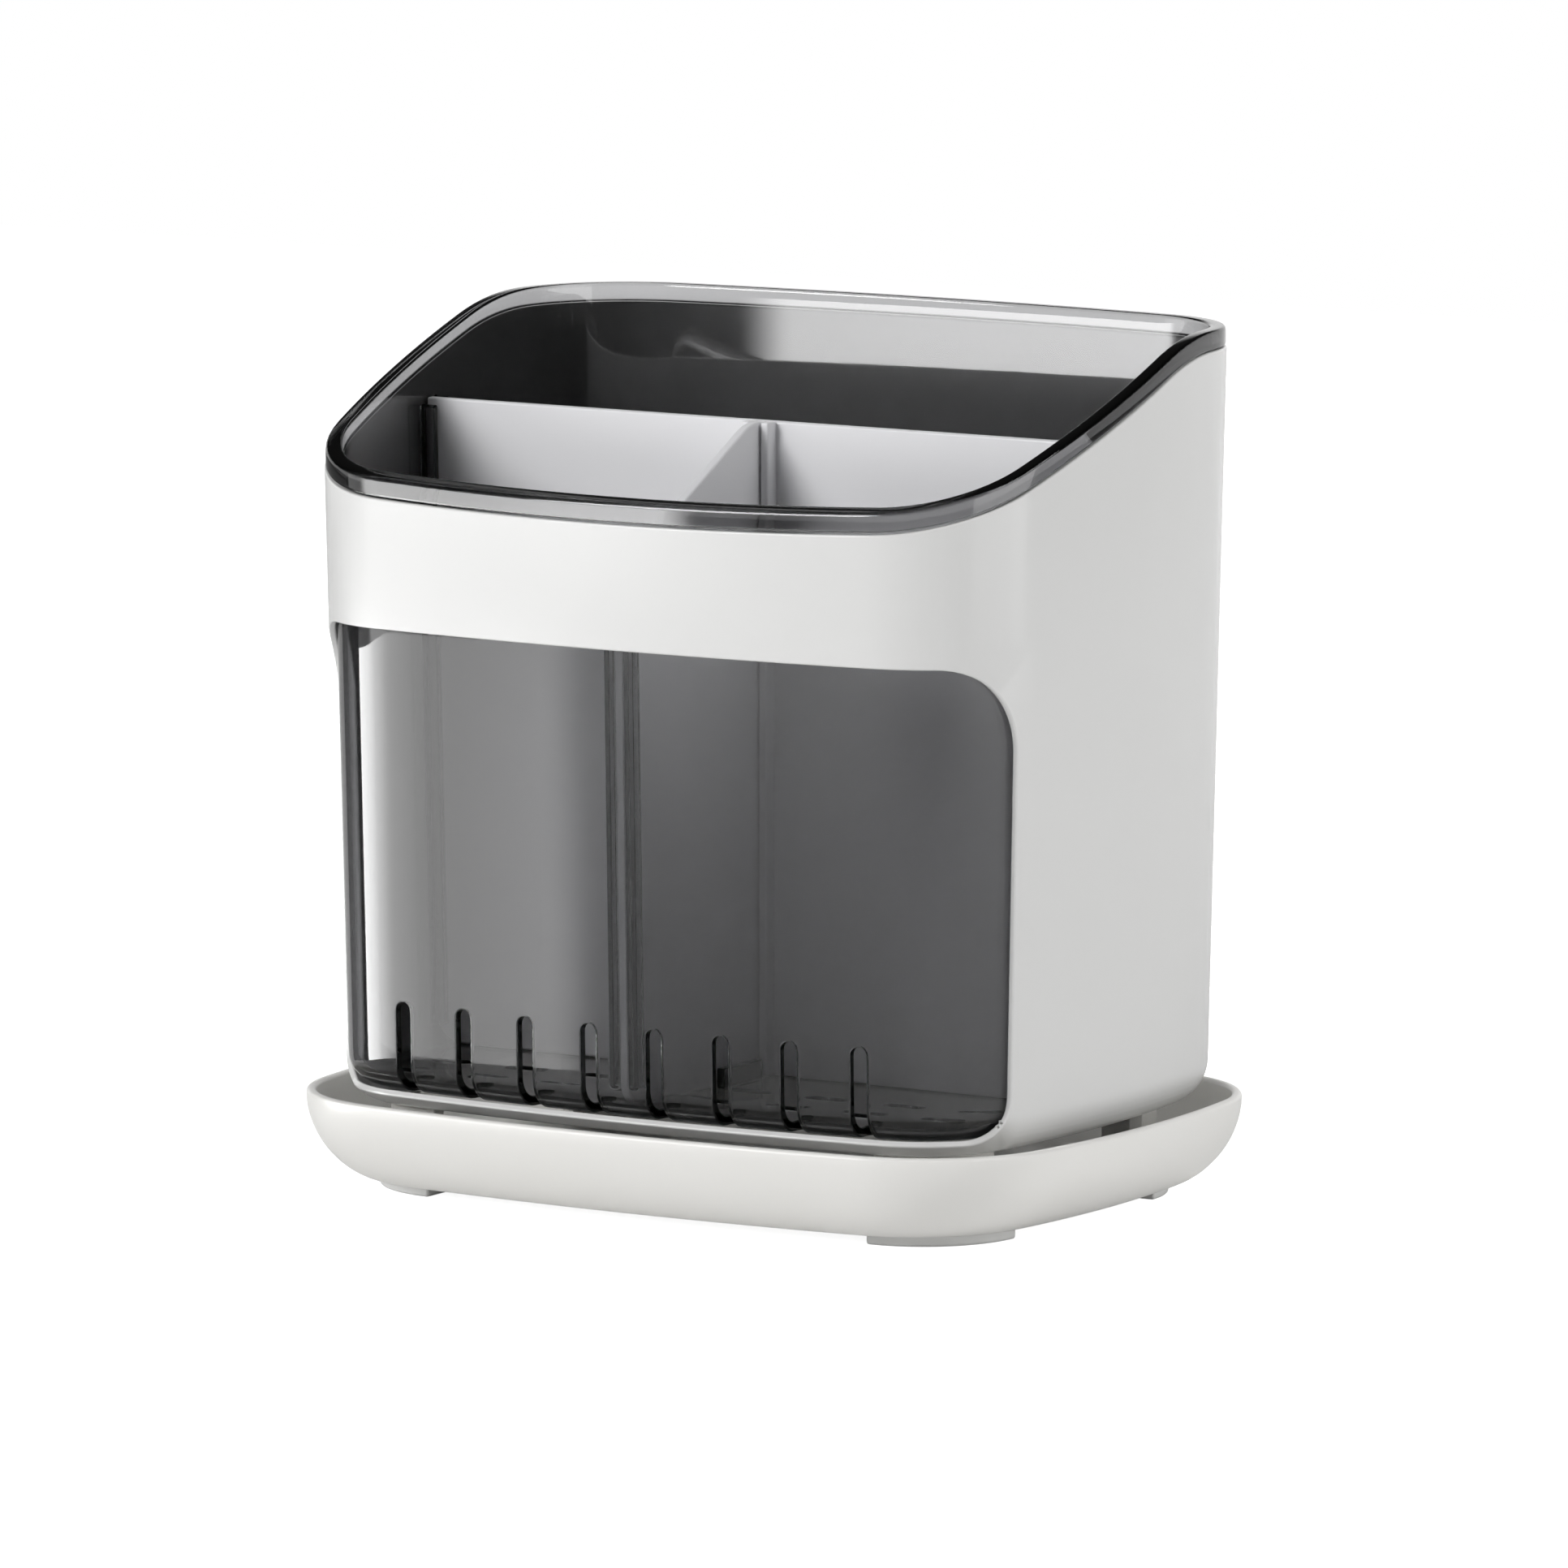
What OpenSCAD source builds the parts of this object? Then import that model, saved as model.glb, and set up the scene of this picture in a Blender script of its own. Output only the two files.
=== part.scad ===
// Chopstick holder: a smoked liner hangs in a white sleeve that stands on a drip tray with four feet.
// Two lift-out dividers split the liner into one rear and two front compartments.
// Origin on the ground under the middle, +Z up, front at -Y. Every wall is an inset of the tray rim's plan.

/* [Plan] */
// Width over the tray rim
tray_w = 172; // [150:1:200]
// Depth over the tray rim
tray_d = 127; // [112:1:150]
// Height over everything, to the rear of the liner's rim
height = 170; // [155:1:200]
// Corner radius of the tray rim
corner_r = 30; // [26:1:34]
// Radius of the bow in the front and back
front_bow_r = 490; // [300:10:800]
// Radius of the bow in the sides
side_bow_r = 224; // [200:4:600]

/* [Tray] */
// Height of the tray's rim over its underside
tray_h = 16.9; // [14:0.1:22]
// Thickness of the tray's wall
tray_wall = 2; // [1.5:0.1:3]
// Thickness of the tray's floor
tray_floor = 2.2; // [1.5:0.1:3]
// How far the tray's base is set in from its rim at the sides
base_side_in = 10.4; // [6:0.1:12]
// How far the tray's base is set in from its rim at the front and back
base_front_in = 9.3; // [6:0.1:12]
// Corner radius of the tray's base
base_corner_r = 26; // [22:1:36]
// How the tray's wall flares: 1 is a quarter ellipse, more is straighter
bowl_flare = 1.4; // [1:0.1:2]
// Round on the tray's rim
rim_round = 0.8; // [0.3:0.1:0.9]
// Height of the four rests that carry the sleeve over the tray's floor
rest_h = 12.4; // [9:0.1:16]
// Width of a rest
rest_w = 3; // [2:0.5:4]
// How far a rest runs along each side from the corner's centre
rest_run = 4; // [0:0.5:10]

/* [Feet] */
// Height of a foot
foot_h = 2.6; // [2:0.1:5]
// Outer radius of a crescent foot
foot_r = 21; // [16:1:22]
// Width of a crescent foot
foot_w = 7; // [4:0.5:9]
// Angle that a crescent foot spans
foot_span = 90; // [80:2:110]
// Distance from the tray's side to the outer face of a foot
foot_side_in = 14.8; // [13:0.1:18]
// Distance from the tray's front or back to the outer face of a foot
foot_front_in = 16.7; // [13:0.1:18]
// Round on a foot's lower edges
foot_edge = 0.6; // [0.2:0.1:1]

/* [Sleeve] */
// How far the sleeve's top is set in from the tray rim
sleeve_in = 3.6; // [2.5:0.1:5]
// Thickness of the sleeve's wall
sleeve_wall = 1.4; // [1.2:0.1:2.4]
// Draft of the walls in degrees
draft = 1.25; // [0.5:0.05:2]
// Outer radius where the sleeve's wall turns in at the bottom
sleeve_r = 9; // [7:0.5:10]
// Flat lip inside that turn
sleeve_lip = 4; // [3:0.5:5]
// Height of the sleeve's edge at the middle of the front
front_h = 136.6; // [130:0.2:142]
// Slope of the sleeve's edge in degrees
edge_slope = 19.8; // [16:0.2:22]
// Radius that eases the slope into the level rear edge
edge_ease_r = 60; // [30:5:90]

/* [Window] */
// Height of the band over the window
band_h = 24.4; // [18:0.2:32]
// Height of the sill under the window
sill_h = 2.8; // [2.4:0.2:5]
// How far the window turns round each front corner in degrees
window_turn = 69; // [40:1:72]
// Radius of the window's upper corners
window_top_r = 17; // [10:1:22]
// Radius of the window's lower corners
window_low_r = 10; // [6:1:14]

/* [Liner] */
// Thickness of the liner's wall
liner_wall = 1.8; // [1.5:0.1:2.4]
// Thickness of the liner's floor
liner_floor = 2; // [1.6:0.1:2.6]
// Gap between the liner and the sleeve
liner_gap = 0.3; // [0.3:0.05:0.8]
// Gap between the liner's underside and the sleeve's lip
liner_rise = 1.9; // [0.6:0.1:2.5]
// Outer radius where the liner's wall meets its floor
liner_r = 6; // [5:0.5:8]
// Height of the liner's rim over the sleeve's edge
rim_h = 4; // [3:0.2:6]
// Step between the rim's outer face and the sleeve's
rim_step = 0.3; // [0:0.1:1]

/* [Drain slots] */
// Number of slots in the front wall
slot_n = 8; // [4:2:8]
// Spacing of the front slots
slot_pitch = 14.85; // [12:0.05:16]
// Width of every slot
slot_w = 3.3; // [2:0.1:4]
// Height of the front slots over the liner's floor
slot_rise = 16.3; // [10:0.1:20]
// How far the front slots run in under the floor
slot_in = 7; // [6.5:0.5:9]
// Length of a floor slot
floor_slot_l = 9; // [6:0.5:11]
// Number of floor slots in a row
floor_slot_n = 8; // [4:2:8]
// Spacing of the floor slots in a row
floor_pitch_x = 17.3; // [14:0.1:17.5]
// Spacing of the rows of floor slots
floor_pitch_y = 14; // [10:0.5:14]
// Distance from the cross divider to the nearest row in front of it
front_row_l = 17.5; // [12:0.5:18]
// Distance from the cross divider to the nearest row behind it
rear_row_l = 14; // [10:0.5:16]
// Rows of floor slots in front of the cross divider
front_rows = 2; // [1:1:2]
// Rows of floor slots behind the cross divider
rear_rows = 3; // [1:1:3]

/* [Dividers] */
// Thickness of both dividers
divider_t = 2; // [1.6:0.1:3]
// Height of the cross divider
cross_h = 128.4; // [110:0.4:134]
// How far the cross divider's middle lies in front of the holder's
cross_fwd = 3; // [0:0.5:10]
// Level length at the back of the short divider's top
shoulder_l = 5.5; // [3:0.5:14]
// Slope of the short divider's top in degrees
short_slope = 28; // [20:1:32]
// Radius between the level and the sloping part of that top
shoulder_r = 10; // [5:1:20]
// Radius of the dividers' lower corners
divider_corner_r = 5; // [4.5:0.5:10]

/* [Guides] */
// Thickness of a guide rib
guide_t = 1.8; // [1.2:0.1:2.5]
// How far a guide rib stands out
guide_d = 3; // [2:0.2:4]
// Height of the ribs on the liner's floor
locator_h = 4; // [2:0.5:6]
// Length of the ribs on the liner's floor
locator_l = 16; // [8:1:22]
// Running clearance of a divider on each side
slide_gap = 0.3; // [0.2:0.05:0.5]
// Gap under a piece that rests on another
seat_gap = 0.2; // [0.1:0.05:0.4]

/* [Hidden] */

$fn = 48;
white = "#f1f1ef";
tray_white = "#eeeeea";
foot_white = "#f4f4f2";
smoke = "#4a4a4e";
side_steps = 3;
corner_steps = 9;
front_steps = 6;
round_steps = 5;
bowl_steps = 7;
window_steps = 24;
over = 1;
far = 2 * (tray_w + tray_d + height);

// Plans as [width, depth, corner radius, front bow radius, side bow radius]
rim_plan = [tray_w, tray_d, corner_r, front_bow_r, side_bow_r];
base_plan = [tray_w - 2 * base_side_in, tray_d - 2 * base_front_in, base_corner_r, front_bow_r, side_bow_r];

// Heights over the ground
tray_z = foot_h + tray_floor;
rim_z = foot_h + tray_h - rim_round;
sleeve_z = tray_z + rest_h + seat_gap;
liner_z = sleeve_z + sleeve_wall + liner_rise;
floor_z = liner_z + liner_floor;
rear_z = height - rim_h;
divider_z = floor_z + seat_gap;
cross_z = divider_z + cross_h;

// Insets from the tray rim's plan, at height z
function wall_in(z) = sleeve_in + (rear_z - z) * tan(draft);
function liner_in(z) = wall_in(z) + sleeve_wall + liner_gap;
function cavity_in(z) = liner_in(z) + liner_wall;
turn_z = sleeve_z + sleeve_r;
turn_in = wall_in(turn_z);
lip_in = turn_in + sleeve_r + sleeve_lip;

// Where the cross divider's faces are
cross_front = -cross_fwd - divider_t / 2;
cross_back = -cross_fwd + divider_t / 2;
guide_mid = divider_t / 2 + slide_gap + guide_t / 2;
function rib(middle) = [middle - guide_t / 2, middle + guide_t / 2];

// A bowed plan: the centre of its right rear corner, then the half angles of its rear and right bows
function bow_y(o) = o[3] - o[1] / 2;
function bow_x(o) = o[4] - o[0] / 2;
function corner(o) =
    let (u = bow_y(o), v = bow_x(o), l = norm([u, v]), p = o[3] - o[2], q = o[4] - o[2])
    let (m = (p * p - q * q + l * l) / (2 * l), h = sqrt(p * p - m * m))
    [(h * u - m * v) / l, (h * v + m * u) / l - u];
function rear_half(o) = atan2(corner(o)[0], corner(o)[1] + bow_y(o));
function side_half(o) = atan2(corner(o)[1], corner(o)[0] + bow_x(o));

// Points of a plan set in by k: one quarter, then all round
function polar(r, a) = [r * cos(a), r * sin(a)];
function arc(c, r, from, to) =
    [for (i = [0:round_steps]) c + polar(r, from + (to - from) * i / round_steps)];
function quarter(o, k) =
    let (c = corner(o), a = side_half(o), b = 90 - rear_half(o))
    concat(
        [for (i = [0:side_steps]) [-bow_x(o), 0] + polar(o[4] - k, a * i / side_steps)],
        [for (i = [1:corner_steps]) c + polar(o[2] - k, a + (b - a) * i / corner_steps)],
        [for (i = [1:front_steps]) [0, -bow_y(o)] + polar(o[3] - k, b + (90 - b) * i / front_steps)]);
function ring(o, k) =
    let (q = quarter(o, k), m = len(q) - 1)
    concat(
        q,
        [for (i = [m - 1:-1:0]) [-q[i][0], q[i][1]]],
        [for (i = [1:m]) [-q[i][0], -q[i][1]]],
        [for (i = [m - 1:-1:1]) [q[i][0], -q[i][1]]]);
function lifted(points, z) = [for (p = points) [p[0], p[1], z]];
function levels(profile) = [for (p = profile) lifted(ring(rim_plan, p[0]), p[1])];

// A round from a floor up into a wall: [inset, height] pairs
function turn_up(k, z, r) =
    [for (i = [0:round_steps]) let (a = 90 * i / round_steps) [k + r * (1 - sin(a)), z + r * (1 - cos(a))]];

// The sleeve's sloping edge, raised by rise, as [y, z] points from front to back
edge_y = -(tray_d / 2 - wall_in(front_h));
knee_y = edge_y + (rear_z - front_h) / tan(edge_slope);
ease_l = edge_ease_r * tan(edge_slope / 2);
function edge(rise) =
    concat(
        [[-far, front_h + rise + (-far - edge_y) * tan(edge_slope)]],
        arc([knee_y + ease_l, rear_z + rise - edge_ease_r], edge_ease_r, 90 + edge_slope, 90),
        [[far, rear_z + rise]]);
function backward(list) = [for (i = [len(list) - 1:-1:0]) list[i]];

// A solid skinned through rings of equal length, from the lowest to the highest
module loft(rings) {
    n = len(rings[0]);
    m = len(rings);
    bottom = [for (j = [0:n - 1]) j];
    top = [for (j = [n - 1:-1:0]) (m - 1) * n + j];
    sides = [for (i = [0:m - 2], j = [0:n - 1])
        let (a = i * n + j, b = i * n + (j + 1) % n) each [[a + n, b, a], [a + n, b + n, b]]];
    polyhedron([for (r = rings) each r], concat([bottom], sides, [top]));
}

// A profile in the Y-Z plane, run across the whole width
module across(points) {
    translate([-far / 2, 0, 0])
        rotate([90, 0, 90])
            linear_extrude(far)
                polygon(points);
}

module above_edge(rise) {
    across(concat(edge(rise), [[far, far], [-far, far]]));
}

module edge_band(low, high) {
    across(concat(edge(high), backward(edge(low))));
}

module box(x, y, z) {
    translate([x[0], y[0], z[0]])
        cube([x[1] - x[0], y[1] - y[0], z[1] - z[0]]);
}

// Drip tray: a bowl that swells from a rounder base to the rim, with four rests for the sleeve
function bowl(low, high, z, h) =
    [for (i = [0:bowl_steps])
        let (a = 90 * i / bowl_steps)
        lifted(low + (high - low) * pow(sin(a), bowl_flare), z + h * (1 - cos(a)))];
function rim_roll(k, side) =
    [for (i = [1:round_steps])
        let (a = 90 * i / round_steps)
        lifted(ring(rim_plan, k + side * rim_round * (1 - cos(a))), rim_z + rim_round * sin(a))];

module tray_rest() {
    c = corner(rim_plan);
    intersection() {
        linear_extrude(rest_h + over)
            difference() {
                polygon(ring(rim_plan, lip_in - rest_w));
                polygon(ring(rim_plan, lip_in));
            }
        box([c[0] - rest_run, far], [c[1] - rest_run, far], [0, far]);
    }
}

module drip_tray() {
    color(tray_white) {
        difference() {
            loft(concat(
                bowl(ring(base_plan, 0), ring(rim_plan, 0), foot_h, rim_z - foot_h),
                rim_roll(0, 1)));
            loft(concat(
                bowl(ring(base_plan, tray_wall), ring(rim_plan, tray_wall), tray_z, rim_z - tray_z),
                rim_roll(tray_wall, -1),
                [lifted(ring(rim_plan, tray_wall - rim_round), foot_h + tray_h + over)]));
        }
        for (x = [0, 1], y = [0, 1])
            mirror([x, 0, 0])
                mirror([0, y, 0])
                    translate([0, 0, tray_z - over])
                        tray_rest();
    }
}

// Crescent foot under one corner of the tray
module foot(right, back) {
    middle = [tray_w / 2 - foot_side_in - foot_r, tray_d / 2 - foot_front_in - foot_r];
    color(foot_white)
        translate([right * middle[0], back * middle[1], 0])
            rotate(atan2(back, right) - foot_span / 2)
                rotate_extrude(angle = foot_span)
                    polygon([
                        [foot_r - foot_w + foot_edge, 0], [foot_r - foot_edge, 0], [foot_r, foot_edge],
                        [foot_r, foot_h], [foot_r - foot_w, foot_h], [foot_r - foot_w, foot_edge]]);
}

module foot_front_left() { foot(-1, -1); }
module foot_front_right() { foot(1, -1); }
module foot_rear_left() { foot(-1, 1); }
module foot_rear_right() { foot(1, 1); }

// Window cutter: a rounded opening that wraps round both front corners, measured along the wall
window_low = sleeve_z + sill_h;
window_high = front_h - band_h;
window_k = wall_in((window_low + window_high) / 2);
front_l = (front_bow_r - window_k) * rear_half(rim_plan) * PI / 180;
window_l = front_l + (corner_r - window_k) * window_turn * PI / 180;

function along_wall(s, k) =
    let (a = rear_half(rim_plan), c = corner(rim_plan), t = abs(s) - front_l)
    let (b = a + t / (corner_r - window_k) * 180 / PI)
    t <= 0 ?
        [0, bow_y(rim_plan)] + polar(front_bow_r - k, a * s / front_l - 90) :
        [sign(s) * (c[0] + (corner_r - k) * sin(b)), -c[1] - (corner_r - k) * cos(b)];
function round_drop(s, r) =
    let (t = abs(s) - window_l + r)
    t <= 0 ? 0 : r - sqrt(max(0, r * r - t * t));

module window() {
    reach = window_l - window_top_r;
    half = concat(
        [for (i = [1:window_steps / 2]) reach * 2 * i / window_steps],
        [for (i = [1:corner_steps]) reach + window_top_r * sin(90 * i / corner_steps)]);
    stations = concat(backward(-half), [0], half);
    rings = [for (s = stations)
        let (low = window_low + round_drop(s, window_low_r))
        let (high = window_high - round_drop(s, window_top_r))
        let (out = along_wall(s, -over), in = along_wall(s, lip_in))
        [[out[0], out[1], low], [in[0], in[1], low], [in[0], in[1], high], [out[0], out[1], high]]];
    loft(rings);
}

// Outer sleeve: drafted shell with a turned-in foot, a sloping edge and the wrap-round window
module outer_sleeve() {
    top_z = height + over;
    inner_r = sleeve_r - sleeve_wall;
    color(white)
        difference() {
            loft(levels(concat(
                turn_up(turn_in, sleeve_z, sleeve_r),
                [[wall_in(top_z), top_z]])));
            loft(levels(concat(
                [[lip_in, sleeve_z - over], [lip_in, sleeve_z + sleeve_wall]],
                turn_up(turn_in + sleeve_wall, sleeve_z + sleeve_wall, inner_r),
                [[wall_in(top_z + over) + sleeve_wall, top_z + over]])));
            above_edge(0);
            window();
        }
}

// Inner liner: smoked tub whose rim hooks over the sleeve's edge, with drain slots and divider guides
module front_slot(x) {
    y = -(tray_d / 2 - liner_in(liner_z)) + slot_in;
    top = floor_z + slot_rise - slot_w / 2;
    translate([x, y, 0])
        rotate([90, 0, 0])
            linear_extrude(far) {
                translate([-slot_w / 2, 0])
                    square([slot_w, top]);
                translate([0, top])
                    circle(d = slot_w);
            }
    translate([x, y, liner_z - over])
        cylinder(d = slot_w, h = liner_floor + 2 * over);
}

module floor_slot(x, y) {
    run = (floor_slot_l - slot_w) / 2;
    translate([x, y, liner_z - over])
        linear_extrude(liner_floor + 2 * over) {
            square([2 * run, slot_w], center = true);
            for (side = [-1, 1])
                translate([side * run, 0])
                    circle(d = slot_w);
        }
}

module floor_slots() {
    rows = concat(
        [for (i = [0:front_rows - 1]) cross_front - front_row_l - floor_pitch_y * i],
        [for (i = [0:rear_rows - 1]) cross_back + rear_row_l + floor_pitch_y * i]);
    for (y = rows, i = [0:floor_slot_n - 1])
        floor_slot((i - (floor_slot_n - 1) / 2) * floor_pitch_x, y);
}

module liner_guides() {
    skin = liner_wall / 2;
    inner_top = height;
    short_front_z = short_top(cavity_front(cross_z));
    difference() {
        intersection() {
            loft(levels(concat(
                turn_up(liner_in(liner_z + liner_r) + skin, liner_z + skin, liner_r - skin),
                [[liner_in(inner_top) + skin, inner_top]])));
            union() {
                for (side = [-1, 1]) {
                    box([-far, far], rib(-cross_fwd + side * guide_mid), [0, cross_z]);
                    box(rib(side * guide_mid), [-far, -tray_d / 4], [0, short_front_z]);
                }
            }
        }
        loft(levels([
            [cavity_in(0) + guide_d, 0],
            [cavity_in(inner_top + over) + guide_d, inner_top + over]]));
    }
    for (side = [-1, 1]) {
        y = cross_front - guide_d - locator_l;
        box(rib(side * guide_mid), [y, y + locator_l - over], [floor_z - over, floor_z + locator_h]);
    }
}

module inner_liner() {
    top_z = height + 2 * over;
    low_z = front_h - tray_d;
    inner_r = liner_r - liner_wall;
    color(smoke) {
        difference() {
            union() {
                difference() {
                    loft(levels(concat(
                        turn_up(liner_in(liner_z + liner_r), liner_z, liner_r),
                        [[liner_in(top_z), top_z]])));
                    above_edge(rim_h);
                }
                intersection() {
                    loft(levels([[wall_in(low_z) + rim_step, low_z], [wall_in(top_z) + rim_step, top_z]]));
                    edge_band(seat_gap, rim_h);
                }
            }
            loft(levels(concat(
                turn_up(cavity_in(liner_z + liner_r), floor_z, inner_r),
                [[cavity_in(top_z + over), top_z + over]])));
            for (i = [0:slot_n - 1])
                front_slot((i - (slot_n - 1) / 2) * slot_pitch);
            floor_slots();
        }
        liner_guides();
    }
}

// Half width and front of the liner's cavity, less the dividers' running clearance, at height z
function cavity_half(z) = tray_w / 2 - cavity_in(z) - slide_gap;
function cavity_front(z) = -(tray_d / 2 - cavity_in(z)) + slide_gap;

// Cross divider: a plate from side to side with a channel for the short divider
module cross_divider() {
    r = divider_corner_r;
    half_low = cavity_half(divider_z);
    half_high = cavity_half(cross_z);
    right = concat(arc([half_low - r, divider_z + r], r, -90, 0), [[half_high, cross_z]]);
    left = [for (p = backward(right)) [-p[0], p[1]]];
    color(white) {
        translate([0, cross_back, 0])
            rotate([90, 0, 0])
                linear_extrude(divider_t)
                    polygon(concat(right, left));
        for (side = [-1, 1])
            box(rib(side * guide_mid), [cross_front - guide_d, cross_back - over / 2], [divider_z, cross_z]);
    }
}

// Short divider: a plate from the channel to the front wall, its top sloping down to the front
shoulder_y = cross_front - slide_gap - shoulder_l;
function short_top(y) = cross_z + min(0, y - shoulder_y) * tan(short_slope);

module short_divider() {
    r = divider_corner_r;
    rear = cross_front - slide_gap;
    low = cavity_front(divider_z);
    front_z = short_top(cavity_front(cross_z));
    high = cavity_front(front_z);
    ease = shoulder_r * tan(short_slope / 2);
    shoulder = arc([shoulder_y + ease, cross_z - shoulder_r], shoulder_r, 90, 90 + short_slope);
    profile = concat(
        [[rear, divider_z], [rear, cross_z]],
        shoulder,
        [[high, short_top(high)]],
        arc([low + r, divider_z + r], r, 180, 270));
    color(white)
        translate([-divider_t / 2, 0, 0])
            rotate([90, 0, 90])
                linear_extrude(divider_t)
                    polygon(profile);
}

drip_tray();
foot_front_left();
foot_front_right();
foot_rear_left();
foot_rear_right();
outer_sleeve();
inner_liner();
cross_divider();
short_divider();
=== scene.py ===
from bisect import bisect_right
from math import asin, atan2, copysign, cos, hypot, pi, radians, sin, sqrt, tan

import bmesh
import bpy
from mathutils import Euler, Matrix, Vector


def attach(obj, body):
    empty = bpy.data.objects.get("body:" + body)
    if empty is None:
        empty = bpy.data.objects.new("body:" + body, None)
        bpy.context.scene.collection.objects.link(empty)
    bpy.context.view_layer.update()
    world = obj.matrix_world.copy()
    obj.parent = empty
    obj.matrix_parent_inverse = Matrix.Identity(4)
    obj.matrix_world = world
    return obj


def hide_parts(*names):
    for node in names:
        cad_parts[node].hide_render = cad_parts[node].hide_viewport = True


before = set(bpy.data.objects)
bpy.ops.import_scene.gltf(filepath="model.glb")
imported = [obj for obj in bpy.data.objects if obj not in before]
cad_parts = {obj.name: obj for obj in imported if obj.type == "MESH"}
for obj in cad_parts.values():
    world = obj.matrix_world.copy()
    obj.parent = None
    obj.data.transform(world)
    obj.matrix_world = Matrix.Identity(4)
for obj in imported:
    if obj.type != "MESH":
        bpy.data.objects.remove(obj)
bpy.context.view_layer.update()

# Sizes in millimetres, the same as in the part's source
MM = 0.001
WIDTH, DEPTH, CORNER_R, FRONT_BOW, SIDE_BOW = 172, 127, 30, 490, 224
BASE_WIDTH, BASE_DEPTH, BASE_CORNER_R = 151.2, 108.4, 26
TRAY_Z, TRAY_FLOOR_Z, TRAY_RIM_Z, TRAY_WALL, TRAY_ROUND, TRAY_FLARE = 2.6, 4.8, 18.7, 2, 0.8, 1.4
TRAY_FLOOR_IN, REST_T, REST_REACH = 14, 3, 5
FOOT_R, FOOT_W, FOOT_H, FOOT_SPAN, FOOT_MIDDLE = 21, 7, 2.6, 90, (50.2, 25.8)
SLEEVE_IN, SLEEVE_WALL, SLEEVE_Z, SLEEVE_R, SLEEVE_LIP, DRAFT = 3.6, 1.4, 17.4, 9, 4, radians(1.25)
FRONT_Z, REAR_Z, EDGE_SLOPE, EDGE_EASE = 136.6, 166, radians(19.8), 60
WINDOW_LOW, WINDOW_HIGH, WINDOW_TURN, WINDOW_TOP_R, WINDOW_LOW_R = 20.2, 112.2, radians(69), 17, 10
LINER_Z, LINER_FLOOR_Z, LINER_WALL, LINER_GAP, LINER_R = 20.7, 22.7, 1.8, 0.3, 6
RIM_H, RIM_STEP, RIM_ROUND, SEAT_GAP = 4, 0.3, 0.7, 0.2
SLOT_W, SLOT_TOP, SLOT_PITCH, SLOT_N, SLOT_END_K, SLOT_IN = 3.3, 39.0, 14.85, 8, 17.12, 9
FLOOR_SLOT_L, FLOOR_PITCH = 9, 17.3
FLOOR_ROWS = ((-35.5, 66), (-21.5, 66), (12, 66), (26, 66), (40, 62.5))
DIVIDER_T, DIVIDER_Z, CROSS_Z, CROSS_FRONT, CROSS_BACK = 2, 22.9, 151.3, -4, -2
GUIDE_T, GUIDE_D, GUIDE_MID, SLIDE_GAP = 1.8, 3, 2.2, 0.3
SHORT_GUIDE_H, FLOOR_GUIDE_Y, FLOOR_GUIDE_H = 98, (-23, -8), 4
DIVIDER_R, SHOULDER_W, SHOULDER_R, SHOULDER_FALL = 5, 5.5, 2.4, radians(28)
STRETCH_Z, FRONT_FADE = 118, 0.6
WELD, MERGE, SHARP_EDGE = 0.004, 0.05, radians(38)


# The plan: bowed sides and round corners, every wall a parallel of the tray rim
def bowed_plan(width, depth, corner, front_bow, side_bow):
    """A plan's bow centres, corner centre and the angles where its bows meet the corner."""
    u, v = front_bow - depth / 2, side_bow - width / 2
    between = hypot(u, v)
    m = ((front_bow - corner) ** 2 - (side_bow - corner) ** 2 + between ** 2) / (2 * between)
    h = sqrt((front_bow - corner) ** 2 - m * m)
    x, y = (h * u - m * v) / between, (h * v + m * u) / between - u
    return {"u": u, "v": v, "x": x, "y": y, "front": atan2(x, y + u), "side": atan2(y, x + v),
            "corner_r": corner, "front_r": front_bow, "side_r": side_bow}


RIM_PLAN = bowed_plan(WIDTH, DEPTH, CORNER_R, FRONT_BOW, SIDE_BOW)
BASE_PLAN = bowed_plan(BASE_WIDTH, BASE_DEPTH, BASE_CORNER_R, FRONT_BOW, SIDE_BOW)


def wall_in(z):
    """How far the sleeve's outer face is set in from the tray rim at height z."""
    return SLEEVE_IN + (REAR_Z - z) * tan(DRAFT)


# Arc lengths along the wall, from the middle of the front, at the window's mean height
MEAN_IN = wall_in((WINDOW_LOW + WINDOW_HIGH) / 2)
FRONT_L = (FRONT_BOW - MEAN_IN) * RIM_PLAN["front"]
CORNER_L = (CORNER_R - MEAN_IN) * (pi / 2 - RIM_PLAN["front"] - RIM_PLAN["side"])
SIDE_L = (SIDE_BOW - MEAN_IN) * RIM_PLAN["side"]
QUARTER_L = FRONT_L + CORNER_L + SIDE_L
WINDOW_L = FRONT_L + (CORNER_R - MEAN_IN) * WINDOW_TURN


def on_plan(plan, s, k):
    """The point at arc length s from the middle of the front, set in by k."""
    q = abs(s)
    q = min(q, 2 * QUARTER_L - q)
    if q <= FRONT_L:
        a = plan["front"] * q / FRONT_L
        x, y = (plan["front_r"] - k) * sin(a), (plan["front_r"] - k) * cos(a) - plan["u"]
    elif q <= FRONT_L + CORNER_L:
        a = plan["front"] + (pi / 2 - plan["front"] - plan["side"]) * (q - FRONT_L) / CORNER_L
        x, y = plan["x"] + (plan["corner_r"] - k) * sin(a), plan["y"] + (plan["corner_r"] - k) * cos(a)
    else:
        a = plan["side"] * (QUARTER_L - q) / SIDE_L
        x, y = (plan["side_r"] - k) * cos(a) - plan["v"], (plan["side_r"] - k) * sin(a)
    return copysign(x, s), y if abs(s) > QUARTER_L else -y


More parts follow.
